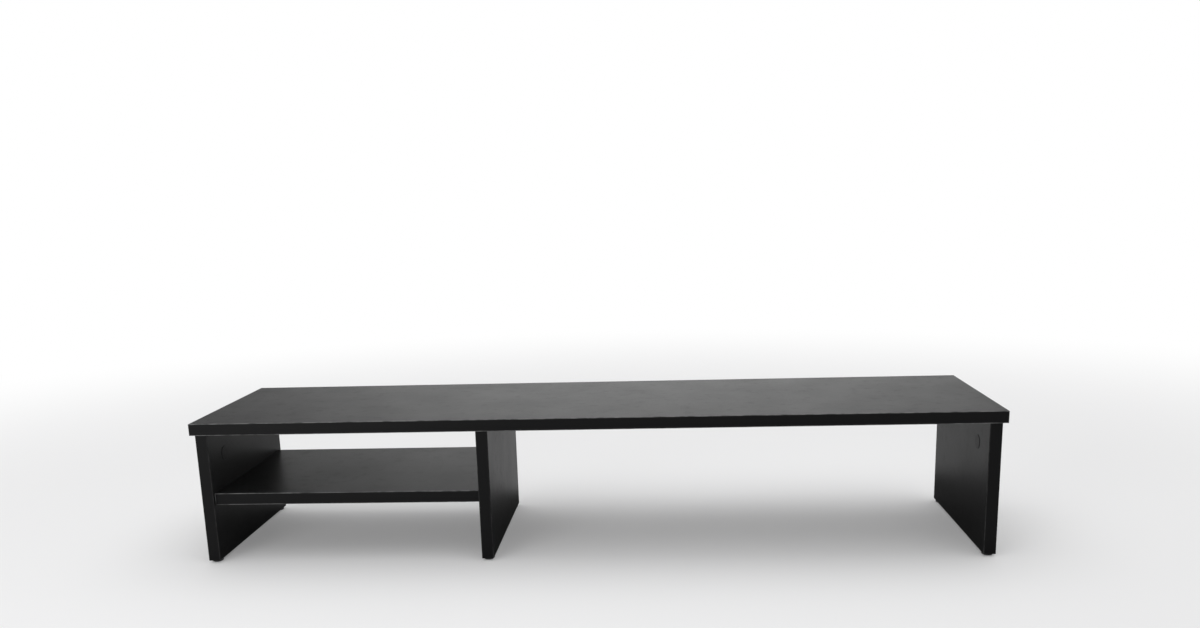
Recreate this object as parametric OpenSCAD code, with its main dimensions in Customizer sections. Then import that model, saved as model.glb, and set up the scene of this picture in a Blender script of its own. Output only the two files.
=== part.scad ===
// Desktop monitor riser with a half-width shelf, in flat-pack board construction.
// +X runs to the right, +Y to the rear and +Z up. The origin is on the desk surface, under the
// middle of the top board. Sizes are in millimetres.

/* [Overall size] */
// Length of the top board, left to right
riser_length = 1000; // [800:10:1200]
// Depth of the top board, front to rear
riser_depth = 250; // [200:5:320]
// Height of the top surface above the desk
riser_height = 183; // [160:1:230]
// Thickness of every board
board = 15; // [15:0.5:19]

/* [Layout] */
// Overhang of the top board past each end panel
end_overhang = 6; // [0:1:20]
// Setback of the panels from the front edge of the top board
panel_front_setback = 3; // [0:1:15]
// Setback of the panels from the rear edge of the top board
panel_rear_setback = 2; // [0:1:15]
// Clear width of the left bay, which holds the shelf
shelf_bay_width = 338; // [200:1:420]
// Height of the shelf's underside above the desk
shelf_height = 76; // [40:1:100]
// Setback of the shelf from the front edge of the panels
shelf_front_setback = 5; // [0:1:20]
// Setback of the shelf from the rear edge of the panels
shelf_rear_setback = 6; // [0:1:20]

/* [Edge bands] */
// Thickness of the glued edge bands
band = 1; // [0.8:0.1:2]
// Radius of the rounded arrises of the edge bands
arris = 0.8; // [0.3:0.1:0.8]

/* [Dowels] */
// Diameter of the fluted dowels
dowel_diameter = 8; // [6:1:8]
// Length of a dowel
dowel_length = 30; // [25:1:35]
// Length of a dowel inside the face of a board, the rest being in the other board's end
dowel_in_face = 10; // [8:0.5:11]
// Distance between the two dowels of a joint
dowel_spacing = 86; // [60:2:110]

/* [Connecting bolts and cams] */
// Distance between the two connecting bolts of a joint
bolt_spacing = 150; // [136:2:180]
// Diameter of the bore for a bolt in the end of a board
bolt_bore = 8; // [7.5:0.5:8]
// Diameter of a cam housing
cam_diameter = 15; // [14:0.5:16]
// Distance from the end of a board to the centre of a cam
cam_distance = 34; // [30:1:40]

/* [Glides] */
// Diameter of a glide
glide_diameter = 14; // [11:1:15]
// Height of a glide, from the desk to the lower edge of the panels
glide_height = 3; // [2.5:0.5:5]
// Distance from the edge of a panel to the centre of a glide
glide_setback = 10; // [8:1:40]
// Length of the shank of a glide nail
nail_length = 14; // [10:1:20]

/* [Hidden] */
$fn = 48;

// Colours
melamine_black = [0.11, 0.11, 0.115];
band_black = [0.08, 0.08, 0.085];
plastic_black = [0.05, 0.05, 0.055];
beech = [0.80, 0.64, 0.44];
zinc = [0.66, 0.66, 0.68];
steel = [0.78, 0.78, 0.80];

// Heights of the boards
panel_bottom = glide_height;
panel_top = riser_height - board;
shelf_top = shelf_height + board;
shelf_middle = shelf_height + board / 2;

// Front and rear edges
front = -riser_depth / 2;
rear = riser_depth / 2;
panel_front = front + panel_front_setback;
panel_rear = rear - panel_rear_setback;
panel_middle = (panel_front + panel_rear) / 2;
shelf_front = panel_front + shelf_front_setback;
shelf_rear = panel_rear - shelf_rear_setback;

// Middle planes of the three panels, and the ends of the shelf
right_panel_x = riser_length / 2 - end_overhang - board / 2;
left_panel_x = -right_panel_x;
middle_panel_x = left_panel_x + board + shelf_bay_width;
shelf_left = left_panel_x + board / 2;
shelf_right = middle_panel_x - board / 2;

// Bores and fittings
dowel_slack = 0.5;       // empty depth past each end of a dowel
dowel_chamfer = 1;
flute_count = 12;
flute_radius = 0.4;
screw_diameter = 6;      // threaded end of a connecting bolt
screw_length = 11;
screw_bore_depth = 11.5;
cam_back_wall = 2.2;     // board left behind a cam bore
cam_depth = board - cam_back_wall;
cam_inset = 0.5;         // the cam's face lies this far below the face of the board
cam_clearance = 0.1;
cam_wall = 1.9;          // rim of the cam that holds the ball head
neck_diameter = 4;
head_diameter = 6.4;
neck_clearance = 0.4;
chamber_height = 7.2;
head_play = 0.2;         // gap between the ball head and the rim that holds it
drive_diameter = 4;      // round middle of the cam's cross recess
drive_depth = 2;
drive_arm_length = 7.2;
drive_arm_width = 1.2;
cover_thickness = 0.4;
cover_overlap = 1.5;     // the cover reaches this far past the cam bore
cover_chamfer = 0.2;
nail_diameter = 1.8;
nail_head_diameter = 4.8;
nail_head_thickness = 0.8;
nail_head_depth = 1.2;   // depth of the recess under the glide that holds the nail's head
eps = 0.1;               // cutters reach this far past a face

// ---------- Shared shapes ----------

// A rectangle from corner lo to corner hi with rounded corners
module round_rectangle(lo, hi, radius) {
    translate([lo[0] + radius, lo[1]]) square([hi[0] - lo[0] - 2 * radius, hi[1] - lo[1]]);
    translate([lo[0], lo[1] + radius]) square([hi[0] - lo[0], hi[1] - lo[1] - 2 * radius]);
    for (x = [lo[0] + radius, hi[0] - radius], y = [lo[1] + radius, hi[1] - radius])
        translate([x, y]) circle(radius);
}

// A block from corner lo to corner hi with every arris rounded
module round_block(lo, hi, radius) {
    intersection() {
        translate([0, 0, lo[2]]) linear_extrude(hi[2] - lo[2])
            round_rectangle([lo[0], lo[1]], [hi[0], hi[1]], radius);
        translate([0, hi[1], 0]) rotate([90, 0, 0]) linear_extrude(hi[1] - lo[1])
            round_rectangle([lo[0], lo[2]], [hi[0], hi[2]], radius);
        translate([lo[0], 0, 0]) rotate([90, 0, 90]) linear_extrude(hi[0] - lo[0])
            round_rectangle([lo[1], lo[2]], [hi[1], hi[2]], radius);
    }
}

// A plain block from corner lo to corner hi
module block(lo, hi) {
    translate(lo) cube(hi - lo);
}

// Children at both places of a pair along Y, about the middle of the panels' depth
module pair(spacing) {
    for (side = [-1, 1]) translate([0, panel_middle + side * spacing / 2, 0]) children();
}

// ---------- Fittings, each in its own frame ----------

// A fluted dowel. Z = 0 is the joint's plane, +Z goes into the face of the other board.
module dowel() {
    radius = dowel_diameter / 2;
    low = dowel_in_face - dowel_length;
    difference() {
        rotate_extrude() polygon([
            [0, low], [radius - dowel_chamfer, low], [radius, low + dowel_chamfer],
            [radius, dowel_in_face - dowel_chamfer], [radius - dowel_chamfer, dowel_in_face],
            [0, dowel_in_face]
        ]);
        for (turn = [0 : flute_count - 1]) rotate(turn * 360 / flute_count)
            translate([radius, 0, low - eps])
                cylinder(r = flute_radius, h = dowel_length + 2 * eps, $fn = 24);
    }
}

// The dowel's bore in the face of a board, towards +Z, and in the end of a board, towards -Z
module dowel_face_bore() {
    translate([0, 0, -eps]) cylinder(d = dowel_diameter, h = dowel_in_face + dowel_slack + eps);
}

module dowel_end_bore() {
    depth = dowel_length - dowel_in_face + dowel_slack;
    translate([0, 0, -depth]) cylinder(d = dowel_diameter, h = depth + eps);
}

// A connecting bolt. Z = 0 is the joint's plane, +Z goes into the face of the other board, and
// the ball head lies towards -Z, inside the cam.
module connecting_bolt() {
    ring_count = 4;
    ring_pitch = screw_length / (ring_count + 0.5);
    root = screw_diameter / 2 - 0.7;
    collar = bolt_bore / 2 - 0.2;
    collar_length = 3;
    shank = 3;
    neck = neck_diameter / 2;
    head = head_diameter / 2;
    rim = cam_diameter / 2 - cam_clearance;
    head_start = -cam_distance + rim - cam_wall - head_play;
    neck_start = -cam_distance + rim + 1;
    screw_points = [for (ring = [0 : ring_count - 1])
        each [[root, ring * ring_pitch], [screw_diameter / 2, (ring + 0.5) * ring_pitch]]];
    rotate_extrude() polygon(concat(
        [[collar, 0]],
        screw_points,
        [[root, ring_count * ring_pitch], [0, screw_length]],
        [[0, head_start - 4.6], [head - 1.4, head_start - 4.6], [head, head_start - 3.2],
         [head, head_start - 1.8], [neck, head_start]],
        [[neck, neck_start], [shank, neck_start + 1], [shank, -collar_length],
         [collar, -collar_length]]
    ));
}

// The bolt's pilot bore in the face of a board, towards +Z, and its bore in the end of a board
module bolt_face_bore() {
    translate([0, 0, -eps]) cylinder(d = screw_diameter, h = screw_bore_depth + eps);
}

module bolt_end_bore() {
    translate([0, 0, -cam_distance]) cylinder(d = bolt_bore, h = cam_distance + eps);
}

// A cam housing. Z = 0 is the face of its board, +Z points out of it, and the bolt comes from +X.
module cam() {
    radius = cam_diameter / 2 - cam_clearance;
    slot = neck_diameter + neck_clearance;
    entry_angle = 100;
    face = -cam_inset;
    difference() {
        translate([0, 0, -cam_depth]) cylinder(r = radius, h = cam_depth - cam_inset);
        translate([0, 0, -board / 2 - chamber_height / 2])
            cylinder(r = radius - cam_wall, h = chamber_height);
        translate([0, 0, -board / 2]) rotate_extrude(angle = entry_angle)
            translate([radius - cam_wall - 1, -slot / 2]) square([cam_wall + 2, slot]);
        translate([0, 0, -board / 2]) rotate([0, 90, 0]) cylinder(d = slot, h = radius + 1);
        translate([0, 0, -board / 2]) rotate([0, 90, entry_angle])
            cylinder(d = head_diameter + neck_clearance, h = radius + 1);
        translate([0, 0, face - drive_depth]) cylinder(d = drive_diameter, h = drive_depth + eps);
        for (turn = [45, 135]) rotate(turn)
            translate([-drive_arm_length / 2, -drive_arm_width / 2, face - drive_depth])
                cube([drive_arm_length, drive_arm_width, drive_depth + eps]);
    }
}

// The bore for a cam in the face of a board, in the cam's frame
module cam_bore() {
    translate([0, 0, -cam_depth]) cylinder(d = cam_diameter, h = cam_depth + eps);
}

// The thin stick-on cover over a cam, in the cam's frame
module cam_cover() {
    radius = cam_diameter / 2 + cover_overlap;
    rotate_extrude() polygon([
        [0, 0], [radius, 0], [radius, cover_thickness - cover_chamfer],
        [radius - cover_chamfer, cover_thickness], [0, cover_thickness]
    ]);
}

// A nail-on glide. Z = 0 is the desk, and the panel stands on its flat upper side.
module glide() {
    radius = glide_diameter / 2;
    edge = glide_height - 1;
    difference() {
        rotate_extrude() intersection() {
            union() {
                square([radius - edge, glide_height]);
                translate([0, edge]) square([radius, glide_height - edge]);
                translate([radius - edge, edge]) circle(edge);
            }
            square([radius, glide_height]);
        }
        translate([0, 0, -eps]) cylinder(d = nail_head_diameter + 0.2, h = nail_head_depth + eps);
        cylinder(d = nail_diameter, h = glide_height + eps);
    }
}

// The nail of a glide, in the glide's frame
module glide_nail() {
    shank = nail_diameter / 2;
    head = nail_head_diameter / 2;
    tip = nail_head_depth + nail_length;
    rotate_extrude() polygon([
        [0, nail_head_depth - nail_head_thickness], [head - 0.3, nail_head_depth - nail_head_thickness],
        [head, nail_head_depth - nail_head_thickness + 0.3], [head, nail_head_depth],
        [shank, nail_head_depth], [shank, tip - 3], [0, tip]
    ]);
}

// ---------- Places of the fittings ----------

// The frame of each top joint: under the top board, at the middle plane of a panel
module at_top_joint(panel_x) {
    translate([panel_x, 0, panel_top]) children();
}

// The frame of each shelf joint: on a panel's face, +Z going into the panel
module at_shelf_left() {
    translate([shelf_left, 0, shelf_middle]) rotate([0, -90, 0]) children();
}

module at_shelf_right() {
    translate([shelf_right, 0, shelf_middle]) rotate([0, 90, 0]) children();
}

// A panel's own frame: X = 0 at its middle plane, and its cams open towards -X
module on_left_panel() {
    translate([left_panel_x, 0, 0]) mirror([1, 0, 0]) children();
}

module on_middle_panel() {
    translate([middle_panel_x, 0, 0]) children();
}

module on_right_panel() {
    translate([right_panel_x, 0, 0]) children();
}

// The cam frames of a panel, with the bolt coming from above
module at_panel_cams() {
    pair(bolt_spacing) translate([-board / 2, 0, panel_top - cam_distance])
        rotate([0, -90, 0]) children();
}

// The cam frames of the shelf, which open downwards, with the bolts coming from its two ends
module at_shelf_cams() {
    pair(bolt_spacing) translate([shelf_left + cam_distance, 0, shelf_height])
        rotate([0, 180, 0]) children();
    pair(bolt_spacing) translate([shelf_right - cam_distance, 0, shelf_height])
        rotate([180, 0, 0]) children();
}

// The glide frames of a panel
module at_panel_glides() {
    for (y = [panel_front + glide_setback, panel_rear - glide_setback])
        translate([0, y, 0]) children();
}

// ---------- Top board ----------

module top_form() {
    round_block([-riser_length / 2, front, panel_top], [riser_length / 2, rear, riser_height], arris);
}

module top_board() {
    color(melamine_black) difference() {
        block([-riser_length / 2 + band, front + band, panel_top],
              [riser_length / 2 - band, rear - band, riser_height]);
        for (x = [left_panel_x, middle_panel_x, right_panel_x]) at_top_joint(x) {
            pair(dowel_spacing) dowel_face_bore();
            pair(bolt_spacing) bolt_face_bore();
        }
    }
}

// The long bands cover the ends of the short ones.
module top_front_band() {
    color(band_black) intersection() {
        top_form();
        block([-riser_length, front - eps, 0], [riser_length, front + band, riser_height + eps]);
    }
}

module top_rear_band() {
    color(band_black) intersection() {
        top_form();
        block([-riser_length, rear - band, 0], [riser_length, rear + eps, riser_height + eps]);
    }
}

module top_right_band() {
    color(band_black) intersection() {
        top_form();
        block([riser_length / 2 - band, front + band, 0],
              [riser_length / 2 + eps, rear - band, riser_height + eps]);
    }
}

module top_left_band() {
    mirror([1, 0, 0]) top_right_band();
}

// ---------- Panels, in a panel's own frame ----------

// The whole panel with its bands, reaching past its cut upper end
module panel_form() {
    round_block([-board / 2, panel_front, panel_bottom],
                [board / 2, panel_rear, panel_top + 2 * arris], arris);
}

module panel_core() {
    color(melamine_black) difference() {
        block([-board / 2, panel_front + band, panel_bottom + band],
              [board / 2, panel_rear - band, panel_top]);
        at_top_joint(0) {
            pair(dowel_spacing) dowel_end_bore();
            pair(bolt_spacing) bolt_end_bore();
        }
        at_panel_cams() cam_bore();
        at_panel_glides() translate([0, 0, nail_head_depth])
            cylinder(d = nail_diameter, h = nail_length + dowel_slack);
    }
}

// The same panel with the bores of a shelf joint in its face at -X
module shelf_panel_core() {
    color(melamine_black) difference() {
        panel_core();
        translate([-board / 2, 0, shelf_middle]) rotate([0, 90, 0]) {
            pair(dowel_spacing) dowel_face_bore();
            pair(bolt_spacing) bolt_face_bore();
        }
    }
}

module panel_front_band() {
    color(band_black) intersection() {
        panel_form();
        block([-board, panel_front - eps, 0], [board, panel_front + band, panel_top]);
    }
}

module panel_rear_band() {
    color(band_black) intersection() {
        panel_form();
        block([-board, panel_rear - band, 0], [board, panel_rear + eps, panel_top]);
    }
}

module panel_bottom_band() {
    color(band_black) difference() {
        intersection() {
            panel_form();
            block([-board, panel_front + band, 0], [board, panel_rear - band, panel_bottom + band]);
        }
        at_panel_glides() cylinder(d = nail_diameter, h = panel_bottom + band + eps);
    }
}

module left_panel() on_left_panel() shelf_panel_core();
module left_panel_front_band() on_left_panel() panel_front_band();
module left_panel_rear_band() on_left_panel() panel_rear_band();
module left_panel_bottom_band() on_left_panel() panel_bottom_band();

module middle_panel() on_middle_panel() shelf_panel_core();
module middle_panel_front_band() on_middle_panel() panel_front_band();
module middle_panel_rear_band() on_middle_panel() panel_rear_band();
module middle_panel_bottom_band() on_middle_panel() panel_bottom_band();

module right_panel() on_right_panel() panel_core();
module right_panel_front_band() on_right_panel() panel_front_band();
module right_panel_rear_band() on_right_panel() panel_rear_band();
module right_panel_bottom_band() on_right_panel() panel_bottom_band();

// ---------- Shelf ----------

// The whole shelf with its bands, reaching past its two cut ends
module shelf_form() {
    round_block([shelf_left - 2 * arris, shelf_front, shelf_height],
                [shelf_right + 2 * arris, shelf_rear, shelf_top], arris);
}

module shelf_board() {
    color(melamine_black) difference() {
        block([shelf_left, shelf_front + band, shelf_height],
              [shelf_right, shelf_rear - band, shelf_top]);
        at_shelf_left() shelf_end_bores();
        at_shelf_right() shelf_end_bores();
        at_shelf_cams() cam_bore();
    }
}

module shelf_end_bores() {
    pair(dowel_spacing) dowel_end_bore();
    pair(bolt_spacing) bolt_end_bore();
}

module shelf_front_band() {
    color(band_black) intersection() {
        shelf_form();
        block([shelf_left, shelf_front - eps, 0], [shelf_right, shelf_front + band, riser_height]);
    }
}

module shelf_rear_band() {
    color(band_black) intersection() {
        shelf_form();
        block([shelf_left, shelf_rear - band, 0], [shelf_right, shelf_rear + eps, riser_height]);
    }
}

// ---------- Fittings in their places ----------

module top_dowels(panel_x) color(beech) at_top_joint(panel_x) pair(dowel_spacing) dowel();
module left_top_dowels() top_dowels(left_panel_x);
module middle_top_dowels() top_dowels(middle_panel_x);
module right_top_dowels() top_dowels(right_panel_x);
module shelf_left_dowels() color(beech) at_shelf_left() pair(dowel_spacing) dowel();
module shelf_right_dowels() color(beech) at_shelf_right() pair(dowel_spacing) dowel();

module top_bolts(panel_x) color(steel) at_top_joint(panel_x) pair(bolt_spacing) connecting_bolt();
module left_top_bolts() top_bolts(left_panel_x);
module middle_top_bolts() top_bolts(middle_panel_x);
module right_top_bolts() top_bolts(right_panel_x);
module shelf_left_bolts() color(steel) at_shelf_left() pair(bolt_spacing) connecting_bolt();
module shelf_right_bolts() color(steel) at_shelf_right() pair(bolt_spacing) connecting_bolt();

module left_panel_cams() color(zinc) on_left_panel() at_panel_cams() cam();
module middle_panel_cams() color(zinc) on_middle_panel() at_panel_cams() cam();
module right_panel_cams() color(zinc) on_right_panel() at_panel_cams() cam();
module shelf_cams() color(zinc) at_shelf_cams() cam();

module left_panel_cam_covers() color(plastic_black) on_left_panel() at_panel_cams() cam_cover();
module middle_panel_cam_covers() color(plastic_black) on_middle_panel() at_panel_cams() cam_cover();
module right_panel_cam_covers() color(plastic_black) on_right_panel() at_panel_cams() cam_cover();
module shelf_cam_covers() color(plastic_black) at_shelf_cams() cam_cover();

module left_panel_glides() color(plastic_black) on_left_panel() at_panel_glides() glide();
module middle_panel_glides() color(plastic_black) on_middle_panel() at_panel_glides() glide();
module right_panel_glides() color(plastic_black) on_right_panel() at_panel_glides() glide();

module left_panel_glide_nails() color(steel) on_left_panel() at_panel_glides() glide_nail();
module middle_panel_glide_nails() color(steel) on_middle_panel() at_panel_glides() glide_nail();
module right_panel_glide_nails() color(steel) on_right_panel() at_panel_glides() glide_nail();

top_board();
top_front_band();
top_rear_band();
top_left_band();
top_right_band();
left_panel();
left_panel_front_band();
left_panel_rear_band();
left_panel_bottom_band();
middle_panel();
middle_panel_front_band();
middle_panel_rear_band();
middle_panel_bottom_band();
right_panel();
right_panel_front_band();
right_panel_rear_band();
right_panel_bottom_band();
shelf_board();
shelf_front_band();
shelf_rear_band();
left_top_dowels();
middle_top_dowels();
right_top_dowels();
shelf_left_dowels();
shelf_right_dowels();
left_top_bolts();
middle_top_bolts();
right_top_bolts();
shelf_left_bolts();
shelf_right_bolts();
left_panel_cams();
middle_panel_cams();
right_panel_cams();
shelf_cams();
left_panel_cam_covers();
middle_panel_cam_covers();
right_panel_cam_covers();
shelf_cam_covers();
left_panel_glides();
middle_panel_glides();
right_panel_glides();
left_panel_glide_nails();
middle_panel_glide_nails();
right_panel_glide_nails();
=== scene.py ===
"""The looks of a flat-pack desktop riser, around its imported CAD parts.

Lengths are in metres in the shared frame: the origin is on the desk under the middle
of the top board, +X is right, +Y is back and +Z is up. Every CAD part keeps its mesh
and gets a node-based material. The floor, the lights and the camera are made here.
"""

import math

import bmesh
import bpy
from mathutils import Euler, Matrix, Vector


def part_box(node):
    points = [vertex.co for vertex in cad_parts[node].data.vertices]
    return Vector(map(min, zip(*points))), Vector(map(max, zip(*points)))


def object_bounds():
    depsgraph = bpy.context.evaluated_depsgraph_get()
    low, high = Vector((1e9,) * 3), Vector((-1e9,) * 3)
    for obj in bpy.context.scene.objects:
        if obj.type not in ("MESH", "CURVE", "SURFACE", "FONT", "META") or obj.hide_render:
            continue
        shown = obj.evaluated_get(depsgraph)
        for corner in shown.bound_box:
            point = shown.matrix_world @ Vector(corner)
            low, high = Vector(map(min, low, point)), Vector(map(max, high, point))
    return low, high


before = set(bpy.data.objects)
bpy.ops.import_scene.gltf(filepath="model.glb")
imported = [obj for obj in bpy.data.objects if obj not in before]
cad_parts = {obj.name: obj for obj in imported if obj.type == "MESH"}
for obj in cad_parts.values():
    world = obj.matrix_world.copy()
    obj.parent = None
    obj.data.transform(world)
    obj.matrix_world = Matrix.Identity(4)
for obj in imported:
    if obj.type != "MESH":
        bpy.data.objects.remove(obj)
CAD_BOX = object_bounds()

MM = 0.001
AXES = "xyz"
WHITE = (1.0, 1.0, 1.0, 1.0)

# Camera, at the height and angle of a seated person's eyes in front of the desk
CAMERA_PLACE = Vector((0.09241, -1.38392, 0.45022))
CAMERA_TURN = (77.1479, 1.6502, 3.2401)
CAMERA_LENS = 31.9
CAMERA_SENSOR = 36.0
CAMERA_SHIFT_UP = 0.1

# Surround: strengths of light, rises above the horizon and turns from +Y in degrees
SURROUND_LIGHT = 1.0
WALL_FULL_RISE = 9.0
WALL_END_RISE = 15.0
GAP_LIGHT = 0.25
CEILING_FROM = 28.0
CEILING_FULL = 55.0
CEILING_LIGHT = 1.2
BACKDROP_LIGHT = 2.0
BACKDROP_TURN = 27.0
BACKDROP_RISE = 19.0
BACKDROP_CORE = 0.2

# Soft boxes: place, width and depth, and watts
OVERHEAD_PLACE = (0.0, 0.25, 1.8)
OVERHEAD_SIZE = (1.8, 1.2)
OVERHEAD_POWER = 5.0
FRONT_PLACE = (-1.05, -1.7, 0.35)
FRONT_SIZE = (0.9, 0.5)
FRONT_POWER = 11.5

# Floor: it fades into the surround's own light with distance from the origin
FLOOR_COLOUR = (0.82, 0.82, 0.825, 1.0)
FLOOR_ROUGHNESS = 0.9
FLOOR_SPECULAR = 0.1
FLOOR_RADIUS = 9.0
FLOOR_SIDES = 96
FLOOR_GLOW = 0.18
FLOOR_FADE_FROM = 0.75
FLOOR_FADE_TO = 2.2
FLOOR_GAP = 0.1 * MM

# Painted shade: a strip of the floor that only gloss sees as dark, so the lower halves of the
# panels show a painted dark reflection. Where it is full and where it ends, as Y, and how far its
# rear edge moves back for each metre to the right
STRIP_PAINTED_SHADE = (0.02, 0.02, 0.02, 1.0)
STRIP_SHARE = 0.9
STRIP_FRONT_END = -0.17
STRIP_FRONT_FULL = -0.10
STRIP_REAR_FULL = 0.17
STRIP_REAR_END = 0.26
STRIP_SLANT = 0.15

# In the finishes, a colour is linear, a pitch is the size of one blotch or cell, a depth is
# the height of an emboss, and a span is where a pattern goes from nothing to full
NOISE_SPAN = (0.3, 0.7)

# Chipboard core
CORE_DARK = (0.1300, 0.0700, 0.0330, 1.0)
CORE_LIGHT = (0.4700, 0.3300, 0.1900, 1.0)
CORE_SPAN = (0.15, 0.75)
CORE_ROUGHNESS = 0.85
CORE_DEPTH = 0.25 * MM
LARGE_FLAKE = 2.4 * MM
LARGE_SHARE = 0.3
SMALL_FLAKE = 0.8 * MM
SMALL_SHARE = 0.35
FIBRE_PITCH = 0.25 * MM
FIBRE_SHARE = 0.35
FLAKE_FLATNESS = 0.35
GLUE_SPAN = (0.5, 0.85)
GLUE_SHARE = 0.3

# Melamine paper on the core
MELAMINE_BLACK = (0.0040, 0.0040, 0.0042, 1.0)
MELAMINE_WORN = (0.0110, 0.0110, 0.0113, 1.0)
BOARD_ROUGHNESS = 0.36
BOARD_ROUGHNESS_SPREAD = 0.03
BOARD_SPECULAR = 0.055
PAPER_THICKNESS = 0.25 * MM
PAPER_SPAN = (0.8 * PAPER_THICKNESS, 1.2 * PAPER_THICKNESS)
PEARL_PITCH = 1.3 * MM
PEARL_DEPTH = 0.05 * MM
PORE_PITCH = 1.5 * MM
PORE_SPAN = (0.05, 0.5)
PORE_SHARE = 0.3
SPECK_SPAN = (0.45, 0.95)
CLOUD_PITCH = 60 * MM
CLOUD_SPAN = (0.25, 0.75)
SHADE_SPAN = (0.2, 0.8)
RUBBED_PITCH = 14 * MM
RUBBED_SPAN = (0.52, 0.74)

# Edge band
BAND_BLACK = (0.0032, 0.0032, 0.0034, 1.0)
# The scraped line on the arrises is real, but its light grey is a painted highlight, far lighter
# on level edges than on upright ones
BAND_TRIM_LINE_AND_HIGHLIGHT = (0.1450, 0.1450, 0.1450, 1.0)
BAND_TRIM_LINE_AND_HIGHLIGHT_UPRIGHT = (0.0300, 0.0300, 0.0300, 1.0)
BAND_ROUGHNESS = 0.36
BAND_ROUGHNESS_SPREAD = 0.1
BAND_SPECULAR = 0.085
BAND_DEPTH = 0.01 * MM
BAND_GRAIN_PITCH = 0.9 * MM
TRIM_PITCH = 0.7 * MM
TRIM_STREAK = 60.0
TRIM_SHARE = 0.7
SCUFF_AND_HIGHLIGHT_SPAN = (1.0 * MM, 0.6 * MM)
SCUFF_AND_HIGHLIGHT_PITCH = 12 * MM
SCUFF_AND_HIGHLIGHT_LEAST = 0.3
SCUFF_ROUGHNESS = 0.5

# Beech dowel
BEECH_DARK = (0.42, 0.24, 0.12, 1.0)
BEECH_LIGHT = (0.62, 0.41, 0.235, 1.0)
BEECH_RAY = (0.26, 0.13, 0.06, 1.0)
BEECH_ROUGHNESS = (0.52, 0.7)
BEECH_DEPTH = 0.06 * MM
BEECH_PITCH = 0.5 * MM
BEECH_STRETCH = 14.0
RAY_PITCH = 0.45 * MM
RAY_STRETCH = 5.0
RAY_SPAN = (0.32, 0.12)
RAY_SHARE = 0.55

# Zinc, plated or cast
BOLT_FINISH = {
    "colour": (0.72, 0.73, 0.74, 1.0),
    "tarnish": (0.42, 0.41, 0.38, 1.0),
    "roughness": 0.24,
    "pit_depth": 0.004 * MM,
}
CAM_FINISH = {
    "colour": (0.55, 0.55, 0.56, 1.0),
    "tarnish": (0.3, 0.3, 0.31, 1.0),
    "roughness": 0.4,
    "pit_depth": 0.015 * MM,
}
NAIL_FINISH = {
    "colour": (0.62, 0.61, 0.59, 1.0),
    "tarnish": (0.33, 0.31, 0.29, 1.0),
    "roughness": 0.3,
    "pit_depth": 0.006 * MM,
}
CRYSTAL_PITCH = 0.8 * MM
CRYSTAL_SHARE = 0.3
DULL_PITCH = 3 * MM
DULL_SPAN = (0.4, 0.7)
DULL_SHARE = 0.45
DULL_ROUGHER = 0.16
PIT_PITCH = 0.35 * MM

# Cover foil
FOIL_GRAIN_PITCH = 0.6 * MM
FOIL_CLOUD_PITCH = 7 * MM
FOIL_SPAN = (0.35, 0.65)
FOIL_ROUGHNESS_SPREAD = 0.1
FOIL_DEPTH = 0.012 * MM

# Glide plastic
GLIDE_BLACK = (0.012, 0.012, 0.0125, 1.0)
GLIDE_SCRATCHED = (0.05, 0.05, 0.05, 1.0)
GLIDE_ROUGHNESS = (0.45, 0.6)
GLIDE_DEPTH = 0.02 * MM
MOULD_PITCH = 0.4 * MM
SCRATCH_PITCH = 0.25 * MM
SCRATCH_STRETCH = 30.0
SCRATCH_SPAN = (0.6, 0.72)


# ---------------------------------------------------------------- node helpers


def new_material(name):
    """A material whose tree holds one Principled shader. Returns it, the tree and the shader."""
    material = bpy.data.materials.new(name)
    material.use_nodes = True
    tree = material.node_tree
    return material, tree, tree.nodes["Principled BSDF"]


def plug(tree, socket, source):
    """Links a source socket to an input, or sets the input to a plain value."""
    if isinstance(source, bpy.types.NodeSocket):
        tree.links.new(source, socket)
    else:
        socket.default_value = source


def maths(tree, operation, first, second):
    """One sum on numbers."""
    node = tree.nodes.new("ShaderNodeMath")
    node.operation = operation
    plug(tree, node.inputs[0], first)
    plug(tree, node.inputs[1], second)
    return node.outputs[0]


def vector_maths(tree, operation, first, second=(0.0, 0.0, 0.0), output="Vector"):
    """One sum on vectors. Its output is Value where the result is a number."""
    node = tree.nodes.new("ShaderNodeVectorMath")
    node.operation = operation
    plug(tree, node.inputs[0], first)
    plug(tree, node.inputs[1], second)
    return node.outputs[output]


def weighted(tree, *terms):
    """Sum of values, each of them given with its weight."""
    total = None
    for value, weight in terms:
        term = value if weight == 1.0 else maths(tree, "MULTIPLY", value, weight)
        total = term if total is None else maths(tree, "ADD", total, term)
    return total


def components(tree, vector):
    """X, Y and Z of a vector."""
    node = tree.nodes.new("ShaderNodeSeparateXYZ")
    plug(tree, node.inputs["Vector"], vector)
    return node.outputs


def place(tree):
    """Where a surface point is, in the row frame: every CAD object sits at the origin."""
    return tree.nodes.new("ShaderNodeTexCoord").outputs["Object"]


def ray_type(tree, name):
    """1 for rays of the named type, 0 for all others."""
    return tree.nodes.new("ShaderNodeLightPath").outputs[name]


def stretched(axis, times):
    """Stretch of a pattern by times along one axis."""
    return tuple(times if a == axis else 1.0 for a in AXES)


def noise(tree, vector, pitch, detail=2.0, stretch=(1.0, 1.0, 1.0)):
    """Soft random pattern of 0 to 1 whose blotches are about pitch metres, times stretch."""
    scaled = vector_maths(tree, "DIVIDE", vector, tuple(pitch * s for s in stretch))
    node = tree.nodes.new("ShaderNodeTexNoise")
    node.inputs["Scale"].default_value = 1.0
    node.inputs["Detail"].default_value = detail
    plug(tree, node.inputs["Vector"], scaled)
    return node.outputs["Fac"]


def cells(tree, vector, pitch, stretch=(1.0, 1.0, 1.0), output="Distance"):
    """Voronoi cells about pitch metres across, times stretch."""
    scaled = vector_maths(tree, "DIVIDE", vector, tuple(pitch * s for s in stretch))
    node = tree.nodes.new("ShaderNodeTexVoronoi")
    node.inputs["Scale"].default_value = 1.0
    plug(tree, node.inputs["Vector"], scaled)
    return node.outputs[output]


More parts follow.
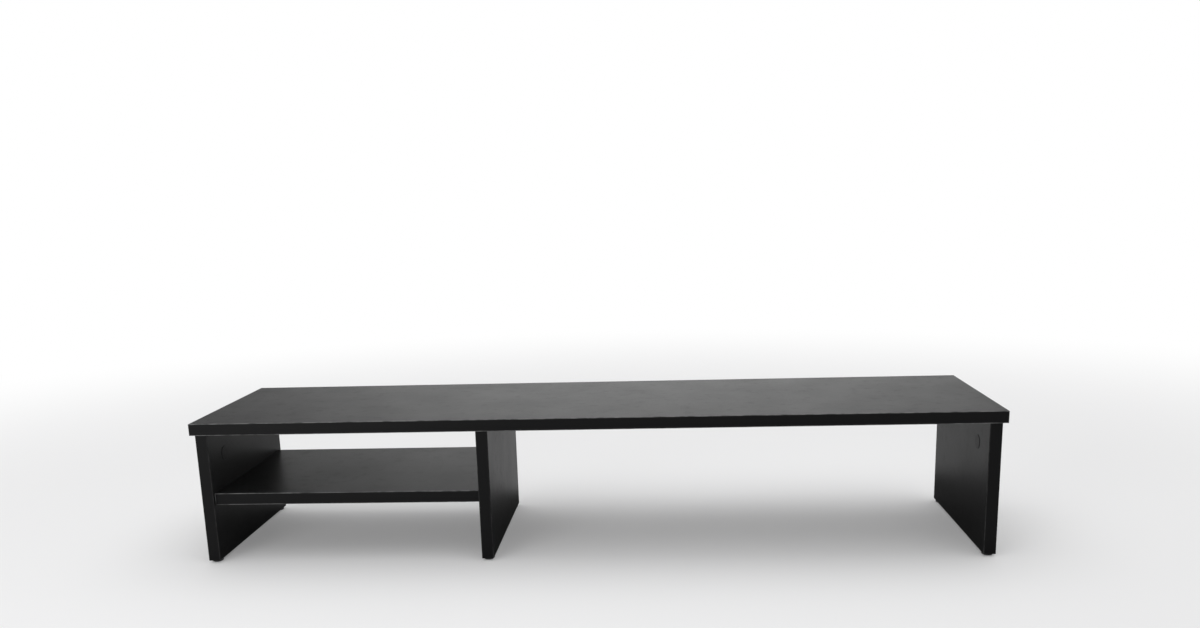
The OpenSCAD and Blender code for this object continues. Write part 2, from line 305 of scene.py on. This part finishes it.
def between(tree, value, low, high, to_low=0.0, to_high=1.0):
    """Maps low..high to to_low..to_high smoothly, held at both ends."""
    node = tree.nodes.new("ShaderNodeMapRange")
    node.interpolation_type = "SMOOTHSTEP"
    plug(tree, node.inputs["Value"], value)
    plug(tree, node.inputs["From Min"], low)
    plug(tree, node.inputs["From Max"], high)
    plug(tree, node.inputs["To Min"], to_low)
    plug(tree, node.inputs["To Max"], to_high)
    return node.outputs["Result"]


def blend(tree, kind, share, first, second):
    """first where share is 0, second where it is 1. The kind is RGBA or FLOAT."""
    node = tree.nodes.new("ShaderNodeMix")
    node.data_type = kind
    plug(tree, node.inputs["Factor"], share)
    plug(tree, node.inputs["A"], first)
    plug(tree, node.inputs["B"], second)
    return node.outputs["Result"]


def blend_colours(tree, share, first, second):
    """Colour that goes from first to second with share."""
    return blend(tree, "RGBA", share, first, second)


def blend_values(tree, share, first, second):
    """Number that goes from first to second with share."""
    return blend(tree, "FLOAT", share, first, second)


def emboss(tree, height, depth, under=None):
    """A bump whose height of 0 to 1 stands depth metres, on top of the bump under it."""
    node = tree.nodes.new("ShaderNodeBump")
    node.inputs["Distance"].default_value = depth
    plug(tree, node.inputs["Height"], height)
    if under is not None:
        plug(tree, node.inputs["Normal"], under)
    return node.outputs["Normal"]


def property_vector(tree, name):
    """A vector that each object carries as a property of its own."""
    node = tree.nodes.new("ShaderNodeAttribute")
    node.attribute_type = "OBJECT"
    node.attribute_name = name
    return node.outputs["Vector"]


def inset(tree, point):
    """How far a point is inside each pair of faces of its own part's box, as X, Y and Z."""
    offset = vector_maths(tree, "SUBTRACT", point, property_vector(tree, "box_middle"))
    reach = vector_maths(tree, "ABSOLUTE", offset)
    depth = vector_maths(tree, "SUBTRACT", property_vector(tree, "box_half"), reach)
    return components(tree, depth)


def edge_distance(tree, point):
    """Distance along the surface of a box to its nearest edge: the middle one of three insets."""
    x, y, z = inset(tree, point)
    low = maths(tree, "MINIMUM", x, y)
    high = maths(tree, "MAXIMUM", x, y)
    return maths(tree, "MAXIMUM", low, maths(tree, "MINIMUM", high, z))


# ------------------------------------------------------------------- materials


def chipboard(tree, point, normal_axis):
    """Raw core of a board: flakes that lie flat in the board, in dark glue. Returns its colour
    and its height."""
    flat = stretched(normal_axis, FLAKE_FLATNESS)
    large = cells(tree, point, LARGE_FLAKE, flat, "Color")
    small = cells(tree, point, SMALL_FLAKE, flat, "Color")
    fibre = noise(tree, point, FIBRE_PITCH, detail=4.0, stretch=flat)
    tone = weighted(tree, (large, LARGE_SHARE), (small, SMALL_SHARE), (fibre, FIBRE_SHARE))
    glue = between(tree, cells(tree, point, LARGE_FLAKE, flat), *GLUE_SPAN, 0.0, GLUE_SHARE)
    tone = maths(tree, "SUBTRACT", tone, glue)
    return blend_colours(tree, between(tree, tone, *CORE_SPAN), CORE_DARK, CORE_LIGHT), tone


def melamine(name, normal_axis):
    """Black melamine-faced chipboard. The faces square to normal_axis carry the pressed paper;
    drilled bores and cut ends show the core."""
    material, tree, shader = new_material(name)
    point = place(tree)
    core_colour, core_height = chipboard(tree, point, normal_axis)
    depth = inset(tree, point)[AXES.index(normal_axis)]
    bare = between(tree, depth, *PAPER_SPAN)

    cloud = noise(tree, point, CLOUD_PITCH, detail=4.0)
    pearl = noise(tree, point, PEARL_PITCH, detail=3.0)
    pores = between(tree, cells(tree, point, PORE_PITCH), *PORE_SPAN)
    rubbed = between(tree, noise(tree, point, RUBBED_PITCH, detail=5.0), *RUBBED_SPAN)
    pressed = weighted(tree, (pearl, 1.0), (pores, PORE_SHARE))

    speck = between(tree, pressed, *SPECK_SPAN)
    shade = weighted(tree, (cloud, 0.5), (speck, 0.5))
    black = blend_colours(tree, between(tree, shade, *SHADE_SPAN), MELAMINE_BLACK, MELAMINE_WORN)
    plug(tree, shader.inputs["Base Color"], blend_colours(tree, bare, black, core_colour))

    roughest = BOARD_ROUGHNESS + BOARD_ROUGHNESS_SPREAD
    gloss = between(tree, cloud, *CLOUD_SPAN, BOARD_ROUGHNESS, roughest)
    gloss = weighted(tree, (gloss, 1.0), (rubbed, BOARD_ROUGHNESS_SPREAD))
    plug(tree, shader.inputs["Roughness"], blend_values(tree, bare, gloss, CORE_ROUGHNESS))

    skin = emboss(tree, pressed, PEARL_DEPTH)
    rough_core = maths(tree, "MULTIPLY", core_height, bare)
    plug(tree, shader.inputs["Normal"], emboss(tree, rough_core, CORE_DEPTH, skin))
    shader.inputs["Specular IOR Level"].default_value = BOARD_SPECULAR
    return material


def edge_band(name, along):
    """Black plastic edge band with trim streaks along its length and faintly scuffed arrises. The
    light line on the arrises is partly a real scraped line and partly a painted highlight, far
    lighter on level edges than on upright ones.
    """
    material, tree, shader = new_material(name)
    point = place(tree)
    trim = noise(tree, point, TRIM_PITCH, stretch=stretched(along, TRIM_STREAK))
    grain = noise(tree, point, BAND_GRAIN_PITCH)
    near_edge = between(tree, edge_distance(tree, point), *SCUFF_AND_HIGHLIGHT_SPAN)
    patchy = noise(tree, point, SCUFF_AND_HIGHLIGHT_PITCH, detail=5.0)
    patchy = between(tree, patchy, *NOISE_SPAN, SCUFF_AND_HIGHLIGHT_LEAST, 1.0)
    # the scuff mask on the arrises also carries the painted highlight
    scuff_and_highlight = maths(tree, "MULTIPLY", near_edge, patchy)

    # painted highlight: level edges get a far lighter arris line than upright ones
    trim_line_and_highlight = BAND_TRIM_LINE_AND_HIGHLIGHT_UPRIGHT if along == "z" else BAND_TRIM_LINE_AND_HIGHLIGHT
    plug(tree, shader.inputs["Base Color"], blend_colours(tree, scuff_and_highlight, BAND_BLACK, trim_line_and_highlight))
    roughest = BAND_ROUGHNESS + BAND_ROUGHNESS_SPREAD
    gloss = between(tree, trim, *NOISE_SPAN, BAND_ROUGHNESS, roughest)
    plug(tree, shader.inputs["Roughness"], blend_values(tree, scuff_and_highlight, gloss, SCUFF_ROUGHNESS))
    height = weighted(tree, (trim, TRIM_SHARE), (grain, 1.0))
    plug(tree, shader.inputs["Normal"], emboss(tree, height, BAND_DEPTH))
    shader.inputs["Specular IOR Level"].default_value = BAND_SPECULAR
    return material


def beech(name, along):
    """Steamed beech dowel: fine grain along its length with short darker rays."""
    material, tree, shader = new_material(name)
    point = place(tree)
    lengthwise = stretched(along, BEECH_STRETCH)
    grain = noise(tree, point, BEECH_PITCH, detail=4.0, stretch=lengthwise)
    ray = between(tree, cells(tree, point, RAY_PITCH, stretched(along, RAY_STRETCH)), *RAY_SPAN)
    wood = blend_colours(tree, between(tree, grain, *NOISE_SPAN), BEECH_DARK, BEECH_LIGHT)
    wood = blend_colours(tree, maths(tree, "MULTIPLY", ray, RAY_SHARE), wood, BEECH_RAY)
    plug(tree, shader.inputs["Base Color"], wood)
    roughness = between(tree, grain, *NOISE_SPAN, *BEECH_ROUGHNESS)
    plug(tree, shader.inputs["Roughness"], roughness)
    plug(tree, shader.inputs["Normal"], emboss(tree, grain, BEECH_DEPTH))
    return material


def zinc(name, colour, tarnish, roughness, pit_depth):
    """Plated or cast zinc: crystals of slightly different grey, pits, and dull rubbed places."""
    material, tree, shader = new_material(name)
    point = place(tree)
    crystals = cells(tree, point, CRYSTAL_PITCH, output="Color")
    dull = between(tree, noise(tree, point, DULL_PITCH, detail=4.0), *DULL_SPAN)
    tone = weighted(tree, (crystals, CRYSTAL_SHARE), (dull, DULL_SHARE))
    plug(tree, shader.inputs["Base Color"], blend_colours(tree, tone, colour, tarnish))
    satin = between(tree, dull, 0.0, 1.0, roughness, roughness + DULL_ROUGHER)
    plug(tree, shader.inputs["Roughness"], satin)
    pits = noise(tree, point, PIT_PITCH, detail=3.0)
    plug(tree, shader.inputs["Normal"], emboss(tree, pits, pit_depth))
    shader.inputs["Metallic"].default_value = 1.0
    return material


def cover_foil():
    """Black paper foil of a stick-on cover: matt, with a soft pressed grain."""
    material, tree, shader = new_material("cover_foil")
    point = place(tree)
    grain = noise(tree, point, FOIL_GRAIN_PITCH, detail=3.0)
    tone = between(tree, noise(tree, point, FOIL_CLOUD_PITCH, detail=3.0), *FOIL_SPAN)
    colour = blend_colours(tree, tone, MELAMINE_BLACK, MELAMINE_WORN)
    plug(tree, shader.inputs["Base Color"], colour)
    roughest = BOARD_ROUGHNESS + FOIL_ROUGHNESS_SPREAD
    satin = between(tree, grain, *NOISE_SPAN, BOARD_ROUGHNESS, roughest)
    plug(tree, shader.inputs["Roughness"], satin)
    plug(tree, shader.inputs["Normal"], emboss(tree, grain, FOIL_DEPTH))
    shader.inputs["Specular IOR Level"].default_value = BOARD_SPECULAR
    return material


def glide_plastic():
    """Black polyethylene glide: waxy, with a mould texture and sliding scratches."""
    material, tree, shader = new_material("glide_plastic")
    point = place(tree)
    mould = noise(tree, point, MOULD_PITCH, detail=3.0)
    scratch = noise(tree, point, SCRATCH_PITCH, stretch=stretched("y", SCRATCH_STRETCH))
    scratch = between(tree, scratch, *SCRATCH_SPAN)
    colour = blend_colours(tree, scratch, GLIDE_BLACK, GLIDE_SCRATCHED)
    plug(tree, shader.inputs["Base Color"], colour)
    roughness = between(tree, mould, *NOISE_SPAN, *GLIDE_ROUGHNESS)
    plug(tree, shader.inputs["Roughness"], roughness)
    plug(tree, shader.inputs["Normal"], emboss(tree, mould, GLIDE_DEPTH))
    return material


# -------------------------------------------------------- giving nodes a finish


def remember_box(name, obj):
    """Puts the middle and half size of a part's box on its object, for the materials to read."""
    low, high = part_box(name)
    obj["box_middle"] = list((low + high) / 2)
    obj["box_half"] = list((high - low) / 2)


def axis_of(name, choose):
    """x, y or z: the one along which the part is longest, for max, or thinnest, for min."""
    low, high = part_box(name)
    size = high - low
    return AXES[choose(range(3), key=lambda i: size[i])]


def pick_finishes():
    """One material for each kind of part, and for each direction where the kind has a grain."""
    finishes = {}
    for axis in AXES:
        finishes["board", axis] = melamine(f"melamine_board_{axis}", axis)
        finishes["band", axis] = edge_band(f"edge_band_{axis}", axis)
        finishes["dowels", axis] = beech(f"beech_{axis}", axis)
    finishes["bolts"] = zinc("bolt_steel", **BOLT_FINISH)
    finishes["cams"] = zinc("cam_zinc", **CAM_FINISH)
    finishes["nails"] = zinc("nail_steel", **NAIL_FINISH)
    finishes["covers"] = cover_foil()
    finishes["glides"] = glide_plastic()
    return finishes


def finish_for(name, finishes):
    """The finish of a CAD part, by the kind that its name ends in."""
    if name.endswith("_band"):
        return finishes["band", axis_of(name, max)]
    if name.endswith("_dowels"):
        return finishes["dowels", "x" if name.startswith("shelf") else "z"]
    for kind in ("bolts", "covers", "nails", "glides", "cams"):
        if name.endswith(kind):
            return finishes[kind]
    return finishes["board", axis_of(name, min)]


def dress_parts():
    """Gives every CAD part its material."""
    finishes = pick_finishes()
    for name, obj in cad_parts.items():
        remember_box(name, obj)
        material = finish_for(name, finishes)
        for slot in obj.material_slots:
            slot.material = material


# ---------------------------------------------------------------------- studio


def make_floor():
    """A pale disc under the riser. Away from it, it fades into the surround's own white."""
    mesh = bpy.data.meshes.new("floor")
    shape = bmesh.new()
    bmesh.ops.create_circle(shape, cap_ends=True, segments=FLOOR_SIDES, radius=FLOOR_RADIUS)
    shape.to_mesh(mesh)
    shape.free()
    floor = bpy.data.objects.new("floor", mesh)
    floor.location.z = -FLOOR_GAP
    bpy.context.scene.collection.objects.link(floor)
    mesh.materials.append(floor_material())


def floor_material():
    """Matt pale floor that turns into the surround's light beyond FLOOR_FADE_TO."""
    material, tree, shader = new_material("floor")
    point = place(tree)
    # painted shade: the strip is dark only for gloss, a painted dark reflection in the lower
    # halves of the panels
    dark = painted_reflection_strip(tree, point)
    plug(tree, shader.inputs["Base Color"], blend_colours(tree, dark, FLOOR_COLOUR, STRIP_PAINTED_SHADE))
    shader.inputs["Roughness"].default_value = FLOOR_ROUGHNESS
    shader.inputs["Specular IOR Level"].default_value = FLOOR_SPECULAR
    glow = tree.nodes.new("ShaderNodeEmission")
    glow.inputs["Strength"].default_value = SURROUND_LIGHT
    distance = vector_maths(tree, "LENGTH", point, output="Value")
    far = between(tree, distance, FLOOR_FADE_FROM, FLOOR_FADE_TO, FLOOR_GLOW, 1.0)
    mix = tree.nodes.new("ShaderNodeMixShader")
    plug(tree, mix.inputs[0], blend_values(tree, dark, far, 0.0))
    plug(tree, mix.inputs[1], shader.outputs[0])
    plug(tree, mix.inputs[2], glow.outputs[0])
    plug(tree, tree.nodes["Material Output"].inputs["Surface"], mix.outputs[0])
    return material


def painted_reflection_strip(tree, point):
    """Painted dark reflection: how dark the gloss of the boards sees the floor, STRIP_SHARE under
    the riser and just behind it, 0 elsewhere. The camera and all other light see the plain pale
    floor. In the photo the lower halves of the panels are nearly black, as if they mirrored a
    dark table; this strip paints that shade into them."""
    x, y, _ = components(tree, point)
    behind = maths(tree, "SUBTRACT", y, maths(tree, "MULTIPLY", x, STRIP_SLANT))
    strip = between(tree, behind, STRIP_REAR_FULL, STRIP_REAR_END, STRIP_SHARE, 0.0)
    front = between(tree, y, STRIP_FRONT_END, STRIP_FRONT_FULL)
    strip = maths(tree, "MULTIPLY", strip, front)
    return maths(tree, "MULTIPLY", strip, ray_type(tree, "Is Glossy Ray"))


def sine(degrees):
    """Sine of an angle in degrees."""
    return math.sin(math.radians(degrees))


def make_surround():
    """Plain white to the camera. As light, and in the gloss of the boards, it is a white wall
    with a dim gap above it, a bright ceiling, and an oval glow low on the wall behind the
    riser."""
    world = bpy.data.worlds.new("studio")
    world.use_nodes = True
    tree = world.node_tree
    direction = tree.nodes.new("ShaderNodeTexCoord").outputs["Generated"]
    right, back, up = components(tree, direction)
    wall = between(tree, up, sine(WALL_FULL_RISE), sine(WALL_END_RISE), SURROUND_LIGHT, 0.0)
    ceiling = between(tree, up, sine(CEILING_FROM), sine(CEILING_FULL), GAP_LIGHT, CEILING_LIGHT)
    wall = maths(tree, "MAXIMUM", wall, ceiling)
    light = maths(tree, "ADD", wall, backdrop_glow(tree, right, back, up))
    sky = tree.nodes["Background"]
    sky.inputs["Color"].default_value = WHITE
    seen = ray_type(tree, "Is Camera Ray")
    plug(tree, sky.inputs["Strength"], blend_values(tree, seen, light, SURROUND_LIGHT))
    bpy.context.scene.world = world


def backdrop_glow(tree, right, back, up):
    """Oval glow behind the riser: full inside BACKDROP_CORE, nothing outside the oval."""
    sideways = maths(tree, "DIVIDE", right, sine(BACKDROP_TURN))
    upwards = maths(tree, "DIVIDE", up, sine(BACKDROP_RISE))
    squares = [maths(tree, "MULTIPLY", part, part) for part in (sideways, upwards)]
    glow = between(tree, maths(tree, "ADD", *squares), BACKDROP_CORE, 1.0, BACKDROP_LIGHT, 0.0)
    return maths(tree, "MULTIPLY", glow, maths(tree, "GREATER_THAN", back, 0.0))


def soft_lamp(name, place_at, aim, size, power):
    """A rectangular soft box that looks at a point."""
    lamp = bpy.data.lights.new(name, "AREA")
    lamp.shape = "RECTANGLE"
    lamp.size, lamp.size_y = size
    lamp.energy = power
    obj = bpy.data.objects.new(name, lamp)
    obj.location = place_at
    obj.rotation_euler = (Vector(aim) - Vector(place_at)).to_track_quat("-Z", "Y").to_euler()
    bpy.context.scene.collection.objects.link(obj)


def make_lamps():
    """One large soft box overhead and a small one low at the front left."""
    middle = (CAD_BOX[0] + CAD_BOX[1]) / 2
    soft_lamp("overhead", OVERHEAD_PLACE, middle, OVERHEAD_SIZE, OVERHEAD_POWER)
    soft_lamp("front", FRONT_PLACE, middle, FRONT_SIZE, FRONT_POWER)


def make_camera():
    """The camera, set as the scene's own."""
    lens = bpy.data.cameras.new("camera")
    lens.lens = CAMERA_LENS
    lens.sensor_width = CAMERA_SENSOR
    lens.shift_y = CAMERA_SHIFT_UP
    camera = bpy.data.objects.new("camera", lens)
    camera.location = CAMERA_PLACE
    camera.rotation_euler = Euler([math.radians(a) for a in CAMERA_TURN])
    bpy.context.scene.collection.objects.link(camera)
    bpy.context.scene.camera = camera


make_camera()
make_surround()
make_lamps()
make_floor()
dress_parts()
bpy.context.scene.view_settings.view_transform = "Standard"
